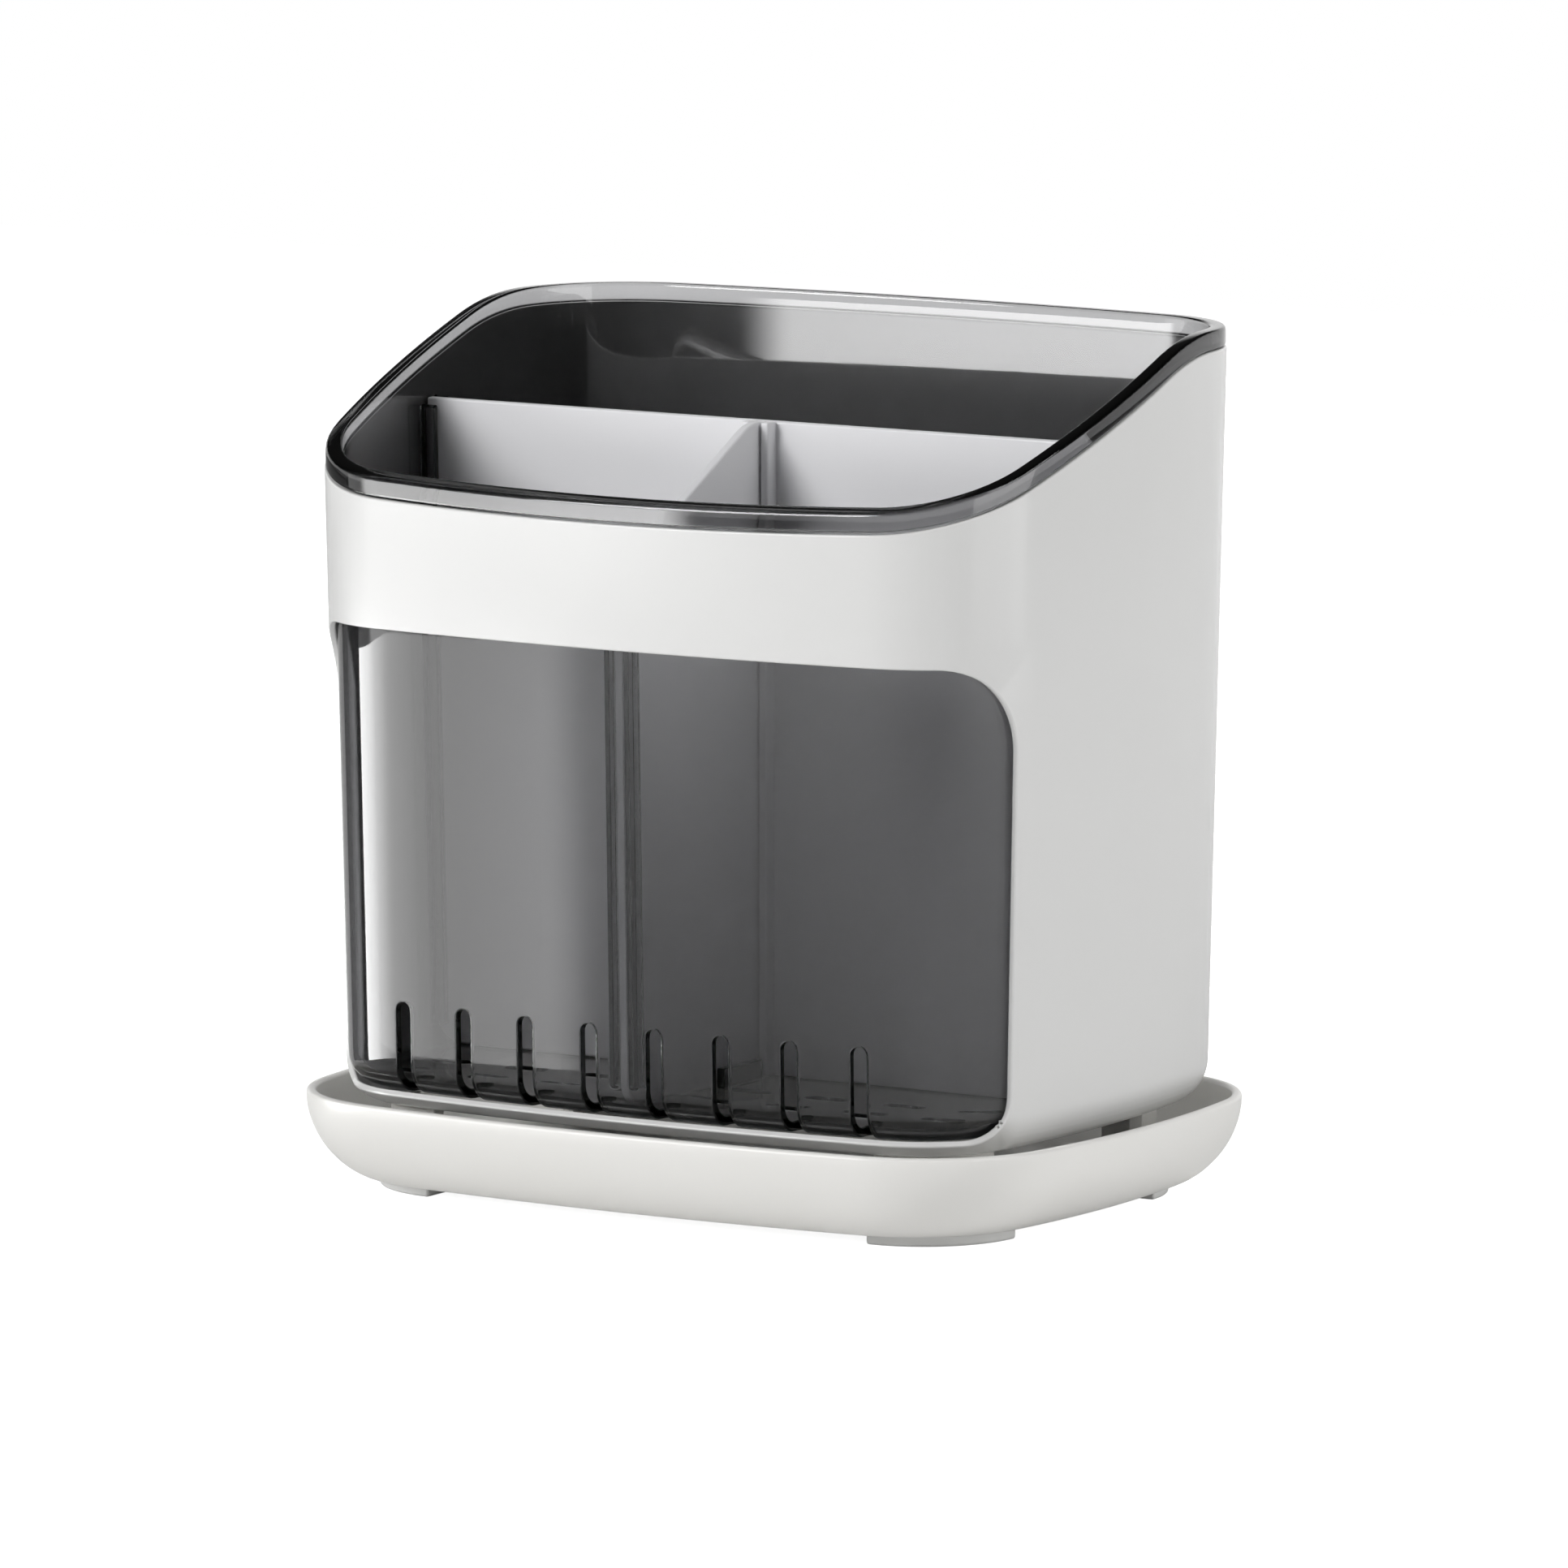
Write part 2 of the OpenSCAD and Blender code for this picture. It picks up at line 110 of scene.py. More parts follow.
EDGE_Y = -(DEPTH / 2 - wall_in(FRONT_Z))
EASE_END = EDGE_Y + (REAR_Z - FRONT_Z) / tan(EDGE_SLOPE) + EDGE_EASE * tan(EDGE_SLOPE / 2)


def edge_z(y):
    """Height of the sleeve's edge: it climbs from the front and eases into the level rear."""
    if y >= EASE_END:
        return REAR_Z
    if y >= EASE_END - EDGE_EASE * sin(EDGE_SLOPE):
        return REAR_Z - EDGE_EASE + sqrt(EDGE_EASE ** 2 - (y - EASE_END) ** 2)
    return FRONT_Z + (y - EDGE_Y) * tan(EDGE_SLOPE)


def near_front(s):
    """1 along the front, easing to 0 round the corners."""
    t = min(max((abs(s) - FRONT_L) / (FRONT_FADE * CORNER_L), 0), 1)
    return 1 - t * t * (3 - 2 * t)


def climb(z):
    """The share of the edge's climb that a wall point at height z follows, up to all at the front edge."""
    return (z - STRETCH_Z) / (FRONT_Z - STRETCH_Z)


# A profile point is (inset, height, lift, front): lift is the share of the edge's climb that it follows,
# and front is an inset that it has along the front only
def on_shell(s, h, k, z, lift, front):
    """The place of a profile point at arc length s on the sleeve or liner, set in by h more."""
    k += front * near_front(s) + h
    raised = z
    for _ in range(3):
        y = on_plan(RIM_PLAN, s, k + wall_in(raised) - wall_in(z))[1]
        raised = z + lift * (edge_z(y) - FRONT_Z)
    x, y = on_plan(RIM_PLAN, s, k + wall_in(raised) - wall_in(z))
    return x, y, raised


def on_bowl(s, k, z, flare, _):
    """The place of a profile point at arc length s on the tray: flare is its share of the way to the rim."""
    low, high = on_plan(BASE_PLAN, s, k), on_plan(RIM_PLAN, s, k)
    return low[0] + (high[0] - low[0]) * flare, low[1] + (high[1] - low[1]) * flare, z


def marks(profile):
    """Running length at each point of a profile."""
    out = [0]
    for a, b in zip(profile, profile[1:]):
        out.append(out[-1] + hypot(b[0] + b[3] - a[0] - a[3], b[1] - a[1]) or 1e-6)
    return out


def spread(start, end, step):
    """Even stations from start to end, about step apart."""
    n = max(1, round(abs(end - start) / step))
    return [start + (end - start) * i / n for i in range(n + 1)]


def stations(*lists):
    """Stations sorted, with near ones merged."""
    out = []
    for x in sorted(x for items in lists for x in items):
        if not out or x - out[-1] > MERGE:
            out.append(x)
    return out


def flat_sheet(columns, rows):
    """A flat sheet: a column of faces between stations along the wall, a row between profile marks."""
    bm = bmesh.new()
    bmesh.ops.create_grid(bm, x_segments=len(columns) - 1, y_segments=len(rows) - 1, size=0.5)
    for v in bm.verts:
        i, j = round((v.co.x + 0.5) * (len(columns) - 1)), round((v.co.y + 0.5) * (len(rows) - 1))
        v.co = columns[i], rows[j], 0
    return bm


def cut_hole(bm, box, nearest):
    """Take the faces in a box out of a flat sheet and carry the edge in to an outline."""
    x0, x1, y0, y1 = box
    middles = {f: f.calc_center_median() for f in bm.faces}
    gone = [f for f, c in middles.items() if x0 < c.x < x1 and y0 < c.y < y1]
    touched = dict.fromkeys(e for f in gone for e in f.edges)
    bmesh.ops.delete(bm, geom=gone, context="FACES")
    rim = [e for e in touched if e.is_valid and e.is_boundary]
    made = bmesh.ops.extrude_edge_only(bm, edges=rim)["geom"]
    for v in (g for g in made if isinstance(g, bmesh.types.BMVert)):
        v.co.x, v.co.y = nearest(v.co.x, v.co.y)
    return [g for g in made if isinstance(g, bmesh.types.BMEdge) and g.is_boundary]


def round_box(x, y, middle, half, radius):
    """Nearest point on a box with round corners."""
    dx, dy = x - middle[0], y - middle[1]
    ox, oy = abs(dx) - (half[0] - radius), abs(dy) - (half[1] - radius)
    if ox > 0 and oy > 0:
        r = radius / hypot(ox, oy)
        px, py = half[0] - radius + ox * r, half[1] - radius + oy * r
    elif ox - radius > oy - radius:
        px, py = half[0], abs(dy)
    else:
        px, py = abs(dx), half[1]
    return middle[0] + copysign(px, dx), middle[1] + copysign(py, dy)


def bend(bm, profile, place):
    """Carry a flat sheet to its place on the wall and close its seam at the middle of the back."""
    at = marks(profile)
    for v in bm.verts:
        i = min(max(bisect_right(at, v.co.y) - 1, 0), len(at) - 2)
        f = (v.co.y - at[i]) / (at[i + 1] - at[i])
        point = [a + (b - a) * f for a, b in zip(profile[i], profile[i + 1])]
        v.co = Vector(place(v.co.x, v.co.z, *point)) * MM
    bmesh.ops.remove_doubles(bm, verts=bm.verts, dist=WELD * MM)


def turn(k, z, r, n):
    """Profile points of a quarter round about (k, z), from facing down to facing outwards."""
    return [(k - r * sin(a), z - r * cos(a), 0, 0) for a in spread(0, pi / 2, pi / (2 * n))]


def make_piece(name, bm, body, node, material, edge=0.0, wall=0.0):
    """Finish a mesh: smooth faces, a wall's thickness, rounded edges, and its place in the frame."""
    for f in bm.faces:
        f.smooth = True
    mesh = bpy.data.meshes.new(name)
    bm.to_mesh(mesh)
    bm.free()
    piece = bpy.data.objects.new(name, mesh)
    bpy.context.scene.collection.objects.link(piece)
    mesh.materials.append(material)
    if wall:
        thick = piece.modifiers.new("wall", "SOLIDIFY")
        thick.thickness, thick.offset, thick.use_even_offset = wall * MM, -1, True
    if edge:
        soft = piece.modifiers.new("soft_edges", "BEVEL")
        soft.width, soft.segments, soft.profile = edge * MM, 3, 0.5
        soft.limit_method, soft.angle_limit, soft.harden_normals = "ANGLE", SHARP_EDGE, True
        soft.miter_outer, soft.use_clamp_overlap = "MITER_ARC", False
    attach(piece, body)
    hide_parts(node)


def add_block(bm, x, y, z):
    """A block between two corners, in millimetres."""
    size = Vector((x[1] - x[0], y[1] - y[0], z[1] - z[0]))
    middle = Vector((x[0] + x[1], y[0] + y[1], z[0] + z[1])) / 2
    bmesh.ops.create_cube(bm, size=1, matrix=Matrix.LocRotScale(middle * MM, None, size * MM))


# Materials, with the length in millimetres over which their colour and gloss drift
DRIFT_MM = 45


def linear(code):
    """An sRGB hex colour as linear RGBA."""
    parts = [int(code[i:i + 2], 16) / 255 for i in (1, 3, 5)]
    return [c / 12.92 if c <= 0.04045 else ((c + 0.055) / 1.055) ** 2.4 for c in parts] + [1]


def add_node(tree, kind, inputs=None, **settings):
    """Add a node, set its fields, and set or link its inputs."""
    node = tree.nodes.new(kind)
    for field, value in settings.items():
        setattr(node, field, value)
    for name, value in (inputs or {}).items():
        if isinstance(value, bpy.types.NodeSocket):
            tree.links.new(value, node.inputs[name])
        else:
            node.inputs[name].default_value = value
    return node


def moulded_plastic(name, pale, deep, ior, rough, ripple_mm, ripple_depth_mm, grain_mm, grain_depth_mm,
                    smoke=None, **fixed):
    """Moulded plastic: a slow drift of colour and gloss over the part, the mould's ripple and its fine grain.
    Smoke is a tint that deepens with the thickness of the wall, as a share of light lost per metre."""
    material = bpy.data.materials.new(name)
    material.use_nodes = True
    tree = material.node_tree
    tree.nodes.clear()
    where = add_node(tree, "ShaderNodeTexCoord").outputs["Object"]
    drift = add_node(tree, "ShaderNodeTexNoise", {
        "Vector": where, "Scale": 1 / (DRIFT_MM * MM), "Detail": 2.0, "Roughness": 0.5}).outputs["Fac"]
    ripple = add_node(tree, "ShaderNodeTexNoise", {
        "Vector": where, "Scale": 1 / (ripple_mm * MM), "Detail": 1.0}).outputs["Fac"]
    grain = add_node(tree, "ShaderNodeTexNoise", {
        "Vector": where, "Scale": 1 / (grain_mm * MM), "Detail": 2.0, "Roughness": 0.6}).outputs["Fac"]
    colour = add_node(tree, "ShaderNodeMix", {
        "Factor": drift, "A": linear(deep), "B": linear(pale)}, data_type="RGBA")
    gloss = add_node(tree, "ShaderNodeMapRange", {
        "Value": drift, "From Min": 0.3, "From Max": 0.7, "To Min": rough[0], "To Max": rough[1]})
    broad = add_node(tree, "ShaderNodeBump", {
        "Height": ripple, "Strength": 1.0, "Distance": ripple_depth_mm * MM})
    fine = add_node(tree, "ShaderNodeBump", {
        "Height": grain, "Strength": 1.0, "Distance": grain_depth_mm * MM, "Normal": broad.outputs["Normal"]})
    shader = add_node(tree, "ShaderNodeBsdfPrincipled", {
        "Base Color": colour.outputs[2], "Roughness": gloss.outputs["Result"], "IOR": ior,
        "Normal": fine.outputs["Normal"], **fixed})
    out = add_node(tree, "ShaderNodeOutputMaterial", {"Surface": shader.outputs["BSDF"]})
    if smoke:
        tint = add_node(tree, "ShaderNodeVolumeAbsorption", {"Color": linear(smoke[0]), "Density": smoke[1]})
        tree.links.new(tint.outputs["Volume"], out.inputs["Volume"])
    return material


# ABS from a polished mould: white, with soft clean highlights that waver slightly over the broad faces
polished_abs = moulded_plastic(
    "polished_white_abs", "#e5e5e4", "#e1e1e0", 1.52, (0.17, 0.25), 14, 0.012, 0.9, 0.0006)
# ABS from a plain mould: a little warmer and softer in its highlights
satin_abs = moulded_plastic(
    "satin_white_abs", "#f4f3f0", "#f1f0ec", 1.5, (0.29, 0.36), 12, 0.010, 0.7, 0.0015)
# Soft foot plastic from a blasted mould: matt, with a fine grain
matt_foot = moulded_plastic(
    "matt_white_elastomer", "#f4f4f2", "#efefed", 1.48, (0.5, 0.6), 6, 0.006, 0.5, 0.006)
# Polypropylene sheet: slightly cool and waxy, with broad soft highlights
waxy_pp = moulded_plastic(
    "satin_white_polypropylene", "#f4f4f6", "#efeff2", 1.49, (0.29, 0.36), 18, 0.012, 0.8, 0.0015)
# Smoked polystyrene from a polished mould: clear, with a neutral dark tint, mirror-like outside
smoked_ps = moulded_plastic(
    "smoked_clear_polystyrene", "#f7f7f8", "#f1f1f3", 1.57, (0.012, 0.03), 22, 0.010, 1.4, 0.0003,
    smoke=("#101014", 310.0), **{"Transmission Weight": 1.0})


# Outer sleeve: lip, turned-in foot and drafted wall in one sheet, with the window cut round both front corners
def build_sleeve():
    turn_z = SLEEVE_Z + SLEEVE_R
    turn_k = wall_in(turn_z) + SLEEVE_R
    turn_n = 12
    profile = [(turn_k + SLEEVE_LIP, SLEEVE_Z, 0, 0)] + turn(turn_k, turn_z, SLEEVE_R, turn_n)
    profile += [(wall_in(z), z, 0, 0) for z in spread(turn_z, STRETCH_Z, 8)[1:]]
    profile += [(wall_in(z), z, climb(z), 0) for z in spread(STRETCH_Z, FRONT_Z, 2)[1:]]
    at = marks(profile)
    wall_start = at[turn_n + 1]
    low = at[1] + SLEEVE_R * (pi / 2 - asin(1 - (WINDOW_LOW - SLEEVE_Z) / SLEEVE_R))
    high = wall_start + (WINDOW_HIGH - turn_z) / cos(DRAFT)
    room, coarse, fine = 3, 2.6, 1.4
    reach, bottom, top, middle = WINDOW_L + room, low - room, high + room, (low + high) / 2
    corners = [side * x for side in (-1, 1) for x in spread(WINDOW_L - 20, reach, fine)]
    columns = stations(spread(-2 * QUARTER_L, 2 * QUARTER_L, coarse), corners)
    columns = stations([x for x in columns if abs(abs(x) - reach) > 0.8], [-reach, reach])
    rows = stations(
        at, spread(bottom, low + WINDOW_LOW_R + 2, fine), spread(high - WINDOW_TOP_R - 2, top, fine))
    rows = stations([y for y in rows if min(abs(y - bottom), abs(y - top)) > 0.6], [bottom, top])
    bm = flat_sheet(columns, rows)

    def window_edge(x, y):
        radius = WINDOW_LOW_R if y < middle else WINDOW_TOP_R
        return round_box(x, y, (0, middle), (WINDOW_L, middle - low), radius)

    cut_hole(bm, (-reach, reach, bottom, top), window_edge)
    bend(bm, profile, on_shell)
    bmesh.ops.recalc_face_normals(bm, faces=bm.faces)
    make_piece(
        "sleeve_shell", bm, "sleeve", "outer_sleeve", polished_abs, edge=0.4, wall=SLEEVE_WALL)


# Inner liner: one closed sheet from the inner floor up over the rim and down to the underside
def build_liner():
    step = SLEEVE_WALL + LINER_GAP
    outer_k = wall_in(LINER_Z + LINER_R) + step
    inner_k = outer_k + LINER_WALL
    inner_r = LINER_R - LINER_WALL
    turn_n = 8
    # The floor's flat margin, wider along the front
    margin, front_margin, margin_n = 0.6, 4.5, 4
    floor = [(margin * i / margin_n, 0, 0, front_margin * i / margin_n) for i in range(margin_n, 0, -1)]
    # Heights of the wall's rows, close together where the slots end
    close_from, close_to = 36, 40.2
    low_walls = stations(
        spread(LINER_Z + LINER_R + 1.5, close_from, 3.2), spread(close_from, close_to, 1.05),
        spread(close_to, STRETCH_Z, 7.8))

    def wall(inset, top):
        lows = [(wall_in(z) + inset, z, 0, 0) for z in low_walls]
        highs = [(wall_in(z) + inset, z, climb(z), 0) for z in spread(STRETCH_Z, top, 3)[1:]]
        return lows + highs

    rise, r = FRONT_Z + RIM_H, RIM_ROUND
    rim_out, rim_in = wall_in(rise) + RIM_STEP, wall_in(rise) + step + LINER_WALL
    inner = [(inner_k + inner_r + k, LINER_FLOOR_Z, 0, e) for k, _, _, e in floor]
    inner += turn(inner_k + inner_r, LINER_FLOOR_Z + inner_r, inner_r, turn_n)
    inner += wall(step + LINER_WALL, FRONT_Z)
    arc = [radians(a) for a in spread(0, 90, 18)]
    over = [(rim_in - r + r * cos(a), rise - r + r * sin(a), 1, 0) for a in arc]
    over += [(rim_out + r - r * sin(a), rise - r + r * cos(a), 1, 0) for a in arc]
    over += [(rim_out, FRONT_Z + SEAT_GAP, 1, 0)]
    outer = wall(step, FRONT_Z + SEAT_GAP)[::-1]
    outer += turn(outer_k + LINER_R, LINER_Z + LINER_R, LINER_R, turn_n)[::-1]
    outer += [(outer_k + LINER_R + k, LINER_Z, 0, e) for k, _, _, e in floor[::-1]]
    profile = inner + over + outer
    at = marks(profile)

    def length_at(test):
        """Running lengths where a measure of the profile passes zero."""
        for i in range(len(profile) - 1):
            a, b = test(profile[i]), test(profile[i + 1])
            if a is not None and b is not None and a * b <= 0 and a != b:
                yield at[i] + (at[i + 1] - at[i]) * a / (a - b)

    tops = list(length_at(lambda p: p[1] - SLOT_TOP if p[2] == 0 else None))
    ends = list(length_at(lambda p: p[0] + p[3] - SLOT_END_K if p[1] < LINER_FLOOR_Z + 0.01 else None))
    half, room = SLOT_W / 2, 1.0
    slot_angles = [asin((i - (SLOT_N - 1) / 2) * SLOT_PITCH / (FRONT_BOW - SLOT_IN)) for i in range(SLOT_N)]
    slot_s = [a * FRONT_L / RIM_PLAN["front"] for a in slot_angles]
    cross_s = QUARTER_L + (CROSS_FRONT + CROSS_BACK) / 2
    guides = [(x - GUIDE_T / 2, x + GUIDE_T / 2) for x in (-GUIDE_MID, GUIDE_MID)]
    cross_guides = [(cross_s + a, cross_s + b) for a, b in guides]
    cross_guides += [(-b, -a) for a, b in cross_guides]
    fixed = [x for c in slot_s for x in spread(c - half - room, c + half + room, 1.06)]
    fixed += [x for pair in guides + cross_guides for x in pair]
    loose = [x for x in spread(-2 * QUARTER_L, 2 * QUARTER_L, 2.7) if min(abs(x - y) for y in fixed) > 1.2]
    columns = stations(fixed, loose)
    bm = flat_sheet(columns, stations(at))

    def raise_guides(ranges, low, high):
        for x0, x1 in ranges:
            found = []
            for f in bm.faces:
                c = f.calc_center_median()
                if x0 < c.x < x1 and low < c.y < high:
                    found.append(f)
            made = bmesh.ops.extrude_face_region(bm, geom=found)["geom"]
            for v in (g for g in made if isinstance(g, bmesh.types.BMVert)):
                v.co.z = GUIDE_D
            bmesh.ops.delete(bm, geom=found, context="FACES")

    first_wall = at[len(inner) - len(wall(step, FRONT_Z)) - 1]
    raise_guides(cross_guides, first_wall, at[len(inner) - 2] + 0.1)
    raise_guides(guides, first_wall, first_wall + SHORT_GUIDE_H)
    loops = []
    for c in slot_s:
        pair = []
        for low, high in (sorted(span) for span in zip(ends[:2], tops[:2])):
            middle, reach = (low + high) / 2, (high - low) / 2

            def slot_edge(x, y):
                return round_box(x, y, (c, middle), (half, reach), half - 0.01)

            pair.append(cut_hole(bm, (c - half - room, c + half + room, low - room, high + room), slot_edge))
        loops.append(pair)
    bend(bm, profile, on_shell)
    for pair in loops:
        bmesh.ops.bridge_loops(bm, edges=[e for loop in pair for e in loop if e.is_valid])

    # Floors with their drain slots
    def rim_of(z):
        return [e for e in bm.edges if e.is_boundary and all(abs(v.co.z - z * MM) < 0.02 * MM for v in e.verts)]

    upper, lower = rim_of(LINER_FLOOR_Z), rim_of(LINER_Z)
    holes = []
    run = (FLOOR_SLOT_L - SLOT_W) / 2
    half_step = Euler((0, 0, pi / 16)).to_matrix().to_4x4()
    for y, reach in FLOOR_ROWS:
        for i in range(SLOT_N):
            x = (i - (SLOT_N - 1) / 2) * FLOOR_PITCH
            over = max(abs(x) + FLOOR_SLOT_L / 2 - reach, 0)
            made = bmesh.ops.create_circle(bm, segments=16, radius=half * MM, matrix=half_step)
            for v in made["verts"]:
                end = copysign(run, v.co.x)
                v.co += Vector((x + end - (copysign(over, end) if end * x > 0 else 0), y, LINER_FLOOR_Z)) * MM
            holes += dict.fromkeys(e for v in made["verts"] for e in v.link_edges)
    bmesh.ops.triangle_fill(bm, use_beauty=True, edges=upper + holes)
    made = bmesh.ops.extrude_edge_only(bm, edges=holes)["geom"]
    sunk = [g for g in made if isinstance(g, bmesh.types.BMVert)]
    bmesh.ops.translate(bm, verts=sunk, vec=(0, 0, (LINER_Z - LINER_FLOOR_Z) * MM))
    sides = [g for g in made if isinstance(g, bmesh.types.BMEdge)]
    lower += [e for e in sides if all(abs(v.co.z - LINER_Z * MM) < 1e-6 for v in e.verts)]
    bmesh.ops.triangle_fill(bm, use_beauty=True, edges=lower)
    for span in guides:
        add_block(bm, span, FLOOR_GUIDE_Y, (LINER_FLOOR_Z, LINER_FLOOR_Z + FLOOR_GUIDE_H))
    bmesh.ops.recalc_face_normals(bm, faces=bm.faces)
    make_piece("liner_tub", bm, "liner", "inner_liner", smoked_ps, edge=0.4)


# Drip tray: bowl, rolled rim and inner bowl in one sheet, with the four rests for the sleeve
def build_tray():
    swell = [radians(a) for a in spread(0, 90, 6)]
    roll = [radians(a) for a in spread(0, 90, 18)]
    profile = [(TRAY_FLOOR_IN, TRAY_Z, 0, 0)]
    profile += [(0, TRAY_Z + (TRAY_RIM_Z - TRAY_Z) * (1 - cos(a)), sin(a) ** TRAY_FLARE, 0) for a in swell]
    profile += [(TRAY_ROUND * (1 - cos(a)), TRAY_RIM_Z + TRAY_ROUND * sin(a), 1, 0) for a in roll[1:]]
    profile += [(TRAY_WALL - TRAY_ROUND * (1 - sin(a)), TRAY_RIM_Z + TRAY_ROUND * cos(a), 1, 0) for a in roll]
    profile += [(TRAY_WALL, TRAY_FLOOR_Z + (TRAY_RIM_Z - TRAY_FLOOR_Z) * (1 - cos(a)), sin(a) ** TRAY_FLARE, 0)
                for a in swell[::-1][1:]]
    profile += [(TRAY_FLOOR_IN, TRAY_FLOOR_Z, 0, 0)]
    bm = flat_sheet(spread(-2 * QUARTER_L, 2 * QUARTER_L, 2.4), list(range(len(profile))))
    for v in bm.verts:
        v.co = Vector(on_bowl(v.co.x, *profile[round(v.co.y)])) * MM
    bmesh.ops.remove_doubles(bm, verts=bm.verts, dist=WELD * MM)
    bmesh.ops.holes_fill(bm, edges=bm.edges, sides=0)
    bmesh.ops.recalc_face_normals(bm, faces=bm.faces)
    lip = wall_in(SLEEVE_Z + SLEEVE_R) + SLEEVE_R + SLEEVE_LIP
    for start in (FRONT_L - REST_REACH, 2 * QUARTER_L - FRONT_L - CORNER_L - REST_REACH):
        for side in (-1, 1):
            columns = spread(side * start, side * (start + CORNER_L + 2 * REST_REACH), 2.5)
            strip = flat_sheet(columns, [TRAY_FLOOR_Z - 1, SLEEVE_Z - SEAT_GAP])
            for v in strip.verts:
                x, y = on_plan(RIM_PLAN, v.co.x, lip - REST_T)
                v.co = Vector((x, y, v.co.y)) * MM
            bmesh.ops.recalc_face_normals(strip, faces=strip.faces)
            bmesh.ops.solidify(strip, geom=strip.faces, thickness=REST_T * MM)
            bmesh.ops.recalc_face_normals(strip, faces=strip.faces)
            mesh = bpy.data.meshes.new("rest")
            strip.to_mesh(mesh)
            strip.free()
            bm.from_mesh(mesh)
            bpy.data.meshes.remove(mesh)
    make_piece("tray_bowl", bm, "tray", "drip_tray", satin_abs, edge=0.3)


# Crescent feet under the tray's corners
def build_foot(name, node, right, back):
    bm = bmesh.new()
    bmesh.ops.create_grid(bm, x_segments=1, y_segments=1, size=0.5)
    for v in bm.verts:
        v.co = (FOOT_R - FOOT_W / 2 + v.co.x * FOOT_W, 0, FOOT_H * (v.co.y + 0.5))
    bmesh.ops.spin(bm, geom=bm.verts[:] + bm.edges[:] + bm.faces[:], cent=(0, 0, 0), axis=(0, 0, 1),
                   angle=radians(FOOT_SPAN), steps=20, use_duplicate=False)
    place = Matrix.Translation(Vector((right * FOOT_MIDDLE[0], back * FOOT_MIDDLE[1], 0)) * MM)
    place = place @ Matrix.Rotation(atan2(back, right) - radians(FOOT_SPAN / 2), 4, "Z") @ Matrix.Scale(MM, 4)
    bmesh.ops.transform(bm, matrix=place, verts=bm.verts)
    bmesh.ops.remove_doubles(bm, verts=bm.verts, dist=WELD * MM)
    bmesh.ops.recalc_face_normals(bm, faces=bm.faces)
    make_piece(name, bm, "tray", node, matt_foot, edge=0.6)


def plate(corners, rounds, axis, start, end):
    """A plate from its outline's corners, some of them rounded, run from start to end along X or Y."""
    bm = bmesh.new()
    verts = [bm.verts.new((x, y, 0)) for x, y in corners]
    bm.faces.new(verts)
    for radius in sorted(set(rounds) - {0}):
        chosen = [v for v, r in zip(verts, rounds) if r == radius]
        bmesh.ops.bevel(bm, geom=chosen, affect="VERTICES", offset=radius, offset_type="OFFSET",
                        segments=8, profile=0.5, material=-1)
    made = bmesh.ops.extrude_face_region(bm, geom=bm.faces[:])["geom"]
    far = [g for g in made if isinstance(g, bmesh.types.BMVert)]
    bmesh.ops.translate(bm, verts=far, vec=(0, 0, end - start))
    for v in bm.verts:
        u, w, t = v.co
        v.co = Vector((u, start + t, w) if axis == "Y" else (start + t, u, w)) * MM
    bmesh.ops.recalc_face_normals(bm, faces=bm.faces)
    return bm


def cavity_in(z):
    """How far the liner's inner face is set in from the tray rim at height z."""
    return wall_in(z) + SLEEVE_WALL + LINER_GAP + LINER_WALL


def build_cross_divider():
    low, high = (WIDTH / 2 - cavity_in(z) - SLIDE_GAP for z in (DIVIDER_Z, CROSS_Z))
    corners = [(-low, DIVIDER_Z), (low, DIVIDER_Z), (high, CROSS_Z), (-high, CROSS_Z)]
    bm = plate(corners, [DIVIDER_R, DIVIDER_R, 0, 0], "Y", CROSS_FRONT, CROSS_BACK)
    rib_y = (CROSS_FRONT - GUIDE_D, CROSS_FRONT + 0.6)
    for x in (-GUIDE_MID, GUIDE_MID):
        add_block(bm, (x - GUIDE_T / 2, x + GUIDE_T / 2), rib_y, (DIVIDER_Z, CROSS_Z))
    make_piece("cross_panel_plate", bm, "cross_panel", "cross_divider", waxy_pp, edge=0.45)


def build_short_divider():
    rear = CROSS_FRONT - SLIDE_GAP
    shoulder = rear - SHOULDER_W

    def front(z):
        return -(DEPTH / 2 - cavity_in(z)) + SLIDE_GAP

    # The top falls to the front wall, which leans, so its end is found in two steps
    top = CROSS_Z
    for _ in range(2):
        top = CROSS_Z + (front(top) - shoulder) * tan(SHOULDER_FALL)
    corners = [
        (rear, DIVIDER_Z), (rear, CROSS_Z), (shoulder, CROSS_Z), (front(top), top), (front(DIVIDER_Z), DIVIDER_Z)]
    bm = plate(corners, [0, 0, SHOULDER_R, 0, DIVIDER_R], "X", -DIVIDER_T / 2, DIVIDER_T / 2)
    make_piece("short_panel_plate", bm, "short_panel", "short_divider", waxy_pp, edge=0.45)


build_sleeve()
build_liner()
build_tray()
for name, right, back in (
        ("front_left", -1, -1), ("front_right", 1, -1), ("rear_left", -1, 1), ("rear_right", 1, 1)):
    build_foot("crescent_foot_" + name, "foot_" + name, right, back)
build_cross_divider()
build_short_divider()


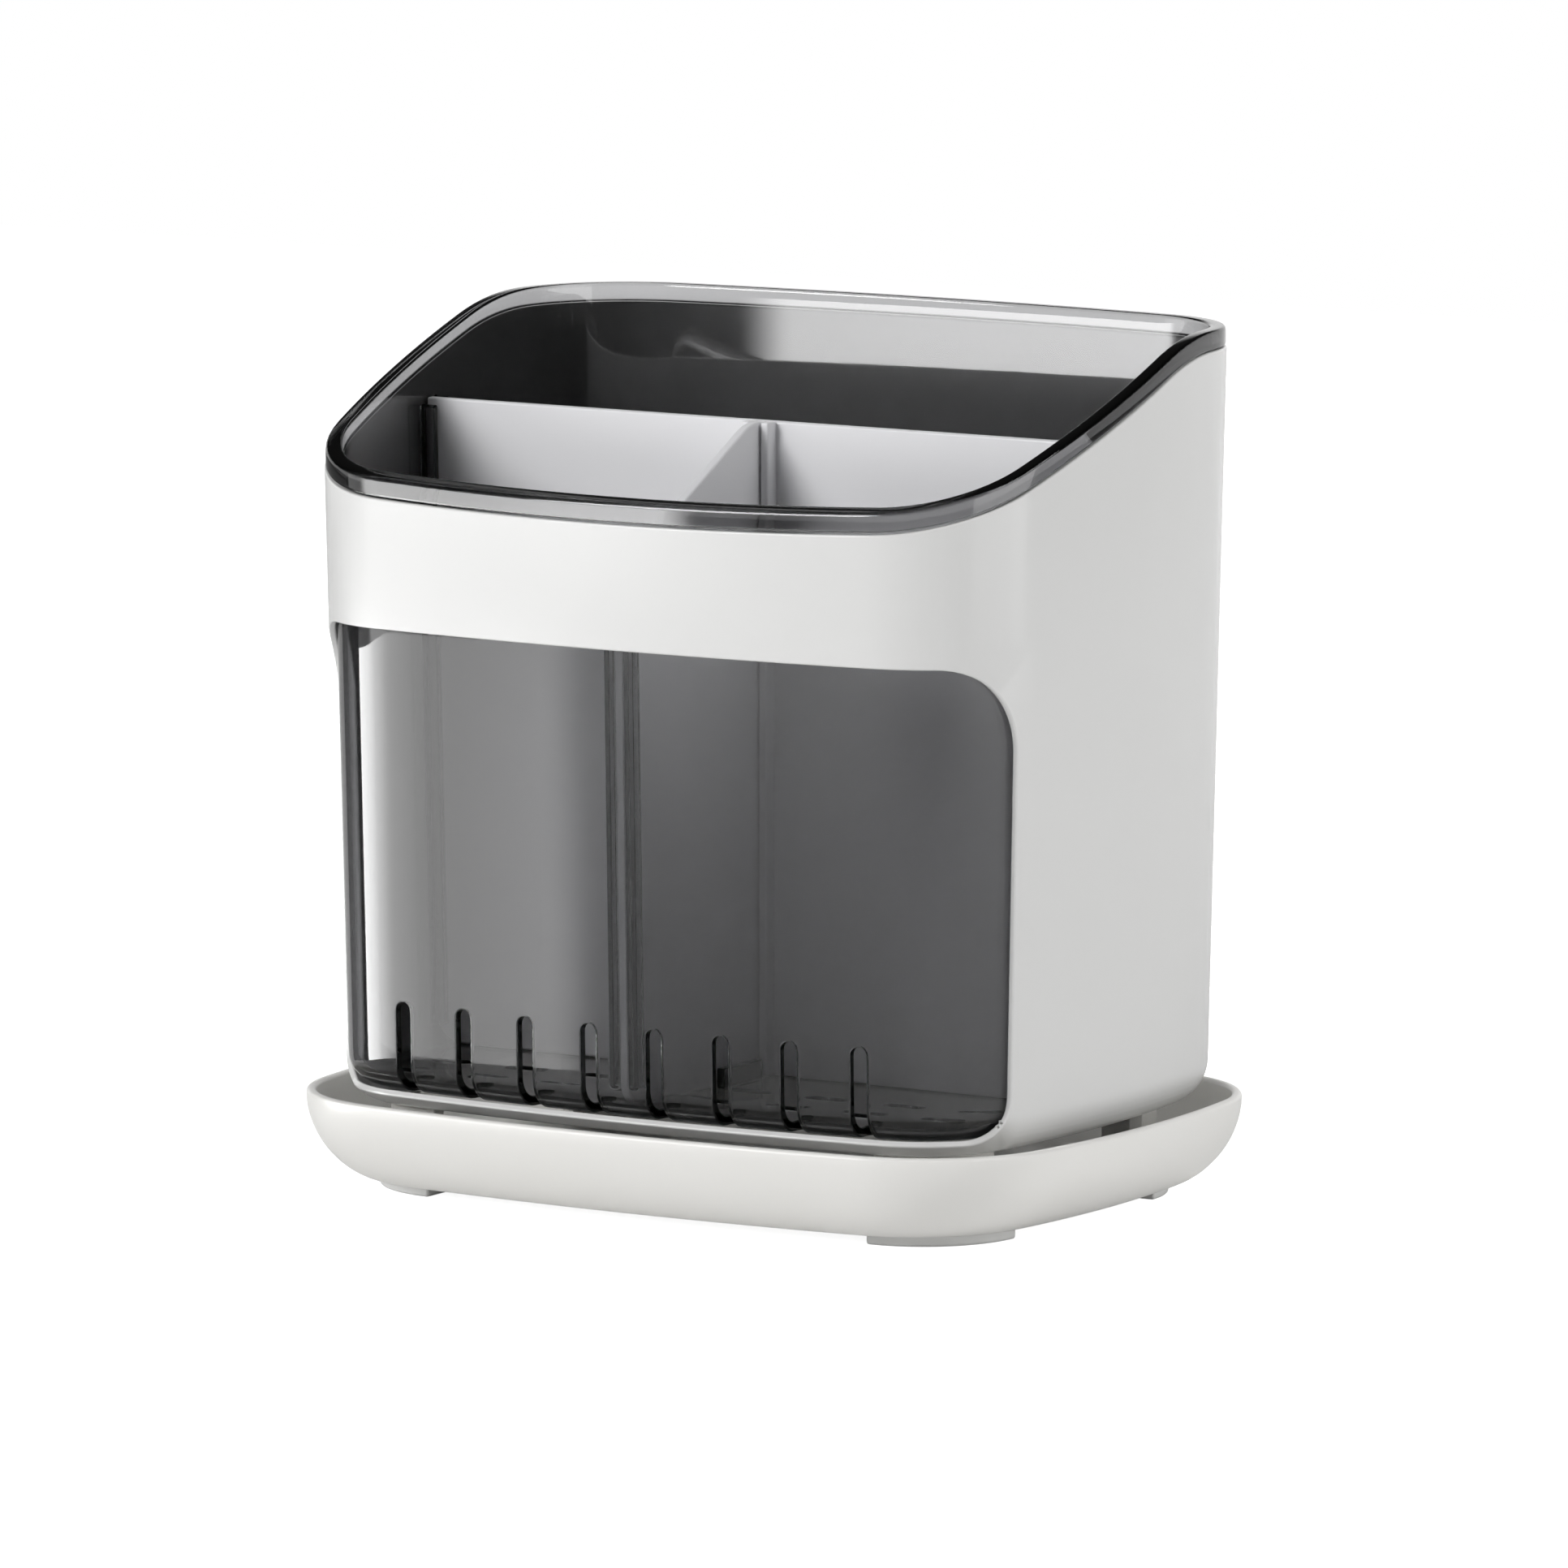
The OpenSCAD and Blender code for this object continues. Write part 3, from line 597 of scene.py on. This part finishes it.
# Studio: pale floor that keeps the shadow, white surroundings, soft light from the front left
def stage_sheet(name, place, surface):
    """A flat sheet of the studio, with a material that a function fills in."""
    bm = bmesh.new()
    bmesh.ops.create_grid(bm, x_segments=1, y_segments=1, size=0.5)
    mesh = bpy.data.meshes.new(name)
    bm.to_mesh(mesh)
    bm.free()
    sheet = bpy.data.objects.new(name, mesh)
    sheet.matrix_world = place
    bpy.context.scene.collection.objects.link(sheet)
    material = bpy.data.materials.new(name)
    material.use_nodes = True
    material.node_tree.nodes.clear()
    add_node(material.node_tree, "ShaderNodeOutputMaterial", {"Surface": surface(material.node_tree)})
    mesh.materials.append(material)
    return sheet


def build_floor(glow):
    """A floor of pale paper, bright enough to the camera that it runs into the white surroundings."""
    def pale_paper(tree):
        paper = add_node(tree, "ShaderNodeBsdfDiffuse", {"Color": linear("#f2f2f2")})
        path = add_node(tree, "ShaderNodeLightPath")
        direct = add_node(tree, "ShaderNodeMath", {
            0: path.outputs["Is Camera Ray"], 1: path.outputs["Is Transmission Ray"]}, operation="MAXIMUM")
        turns = add_node(tree, "ShaderNodeMath", {
            0: path.outputs["Glossy Depth"], 1: path.outputs["Diffuse Depth"]}, operation="ADD")
        straight = add_node(tree, "ShaderNodeMath", {0: turns.outputs["Value"], 1: 0.5}, operation="LESS_THAN")
        seen = add_node(tree, "ShaderNodeMath", {
            0: direct.outputs["Value"], 1: straight.outputs["Value"]}, operation="MULTIPLY")
        strength = add_node(tree, "ShaderNodeMath", {0: seen.outputs["Value"], 1: glow}, operation="MULTIPLY")
        light = add_node(tree, "ShaderNodeEmission", {
            "Color": (1, 1, 1, 1), "Strength": strength.outputs["Value"]})
        both = add_node(tree, "ShaderNodeAddShader", {0: paper.outputs["BSDF"], 1: light.outputs["Emission"]})
        return both.outputs["Shader"]

    stage_sheet("pale_floor", Matrix.LocRotScale((0, -1.5, 0), None, (6, 6, 1)), pale_paper)


def build_world(ambient, ceiling):
    """White to the eye. Polished faces see a white horizon and a dark ceiling, which draws their edges."""
    world = bpy.data.worlds.new("white_studio")
    bpy.context.scene.world = world
    world.use_nodes = True
    tree = world.node_tree
    tree.nodes.clear()
    path = add_node(tree, "ShaderNodeLightPath")
    where = add_node(tree, "ShaderNodeTexCoord").outputs["Generated"]
    up = add_node(tree, "ShaderNodeSeparateXYZ", {"Vector": where}).outputs["Z"]
    shine = add_node(tree, "ShaderNodeMapRange", {
        "Value": up, "From Min": 0.2, "From Max": 0.45, "To Min": 1.0, "To Max": ceiling},
        interpolation_type="SMOOTHSTEP")
    shiny = add_node(tree, "ShaderNodeMath", {
        0: path.outputs["Is Glossy Ray"], 1: path.outputs["Is Transmission Ray"]}, operation="MAXIMUM")
    first = add_node(tree, "ShaderNodeMath", {0: path.outputs["Diffuse Depth"], 1: 0.5}, operation="LESS_THAN")
    clear = add_node(tree, "ShaderNodeMath", {
        0: shiny.outputs["Value"], 1: first.outputs["Value"]}, operation="MULTIPLY")
    level = add_node(tree, "ShaderNodeMapRange", {
        "Value": clear.outputs["Value"], "To Min": ambient, "To Max": shine.outputs["Result"]})
    strength = add_node(tree, "ShaderNodeMath", {
        0: level.outputs["Result"], 1: path.outputs["Is Camera Ray"]}, operation="MAXIMUM")
    back = add_node(tree, "ShaderNodeBackground", {
        "Color": (1, 1, 1, 1), "Strength": strength.outputs["Value"]})
    add_node(tree, "ShaderNodeOutputWorld", {"Surface": back.outputs["Background"]})


# The middle of the holder, in metres, which the lamps face
MIDDLE = Vector((0, 0, 0.085))


def around(azimuth, elevation, distance):
    """A place in the studio, by its angle to the right of the front and its angle above the floor."""
    a, e = radians(azimuth), radians(elevation)
    return Vector((sin(a) * cos(e), -cos(a) * cos(e), sin(e))) * distance + MIDDLE


def soft_box(name, azimuth, elevation, distance, size, power, mirrored=True):
    """A lamp that the camera does not see, with or without its image in polished faces."""
    light = bpy.data.lights.new(name, "AREA")
    light.shape, light.size, light.size_y, light.energy = "RECTANGLE", size[0], size[1], power
    lamp = bpy.data.objects.new(name, light)
    lamp.location = around(azimuth, elevation, distance)
    lamp.rotation_euler = (MIDDLE - lamp.location).to_track_quat("-Z", "Y").to_euler()
    lamp.visible_camera = lamp.visible_transmission = False
    lamp.visible_glossy = mirrored
    bpy.context.scene.collection.objects.link(lamp)


def mirror_card(name, position, azimuth, size, strength, fade, right_fade=None):
    """An upright card that shows only in reflections, bright or black, fading out to its two sides."""
    def card_light(tree):
        where = add_node(tree, "ShaderNodeTexCoord").outputs["Object"]
        across = add_node(tree, "ShaderNodeSeparateXYZ", {"Vector": where}).outputs["X"]
        left, right = (add_node(tree, "ShaderNodeMapRange", {
            "Value": across, "From Min": edge, "From Max": edge + run}, interpolation_type="SMOOTHSTEP")
            for edge, run in ((-0.5, fade), (0.5, -(right_fade or fade))))
        solid = add_node(tree, "ShaderNodeMath", {
            0: left.outputs["Result"], 1: right.outputs["Result"]}, operation="MULTIPLY").outputs["Value"]
        light = add_node(tree, "ShaderNodeEmission", {
            "Color": (1, 1, 1, 1), "Strength": strength}).outputs["Emission"]
        gap = add_node(tree, "ShaderNodeBsdfTransparent").outputs["BSDF"]
        return add_node(tree, "ShaderNodeMixShader", {0: solid, 1: gap, 2: light}).outputs["Shader"]

    turned = Matrix.Rotation(radians(azimuth), 4, "Z") @ Matrix.Rotation(pi / 2, 4, "X")
    card = stage_sheet(name, Matrix.Translation(position) @ turned @ Matrix.Diagonal((*size, 1, 1)), card_light)
    card.visible_camera = card.visible_diffuse = card.visible_transmission = card.visible_shadow = False
    return card


build_floor(0.9)
build_world(0.05, 0.03)
soft_box("key_box", -26, 25, 1.3, (0.5, 0.64), 11.0)
soft_box("side_box", -62, 2, 1.1, (0.5, 0.2), 0.35)
soft_box("front_fill", 0, 1, 1.0, (0.9, 0.14), 0.55, False)
soft_box("low_fill", 95, 6, 0.8, (0.8, 0.36), 1.8)
soft_box("high_fill", 97, 44, 1.0, (0.6, 0.5), 2.4)
soft_box("back_box", 185, 30, 1.5, (0.8, 0.8), 10, False)
# Cards for the light on the inner back wall and for the strip, sheen and dark line in the window
mirror_card("band_card", (-0.747, -0.759, 0.08), -32, (0.706, 0.2), 8.0, 0.36, 0.06).visible_transmission = True
mirror_card("left_card", (-0.172, -0.085, 0.045), -72, (0.17, 0.09), 11.5, 0.42)
mirror_card("sheen_card", (-0.152, -0.157, 0.044), -20, (0.138, 0.088), 3.5, 0.16)
mirror_card("dark_card", (-0.163, -0.042, 0.06), 79, (0.072, 0.12), 0, 0.05)


# Camera at the photograph's viewing angle
def build_camera(azimuth, elevation, distance, lens, shift):
    camera = bpy.data.cameras.new("photo_camera")
    camera.sensor_width, camera.lens = 36, lens
    camera.shift_x, camera.shift_y = shift
    camera.clip_end = 50
    eye = bpy.data.objects.new("photo_camera", camera)
    eye.location = around(azimuth, elevation, distance)
    eye.rotation_euler = Euler((pi / 2 - radians(elevation), 0, radians(azimuth)))
    bpy.context.scene.collection.objects.link(eye)
    bpy.context.scene.camera = eye


build_camera(32.192, 7.815, 2.656098, 312.70, (0.006645, -0.017511))
bpy.context.scene.view_settings.view_transform = "Standard"
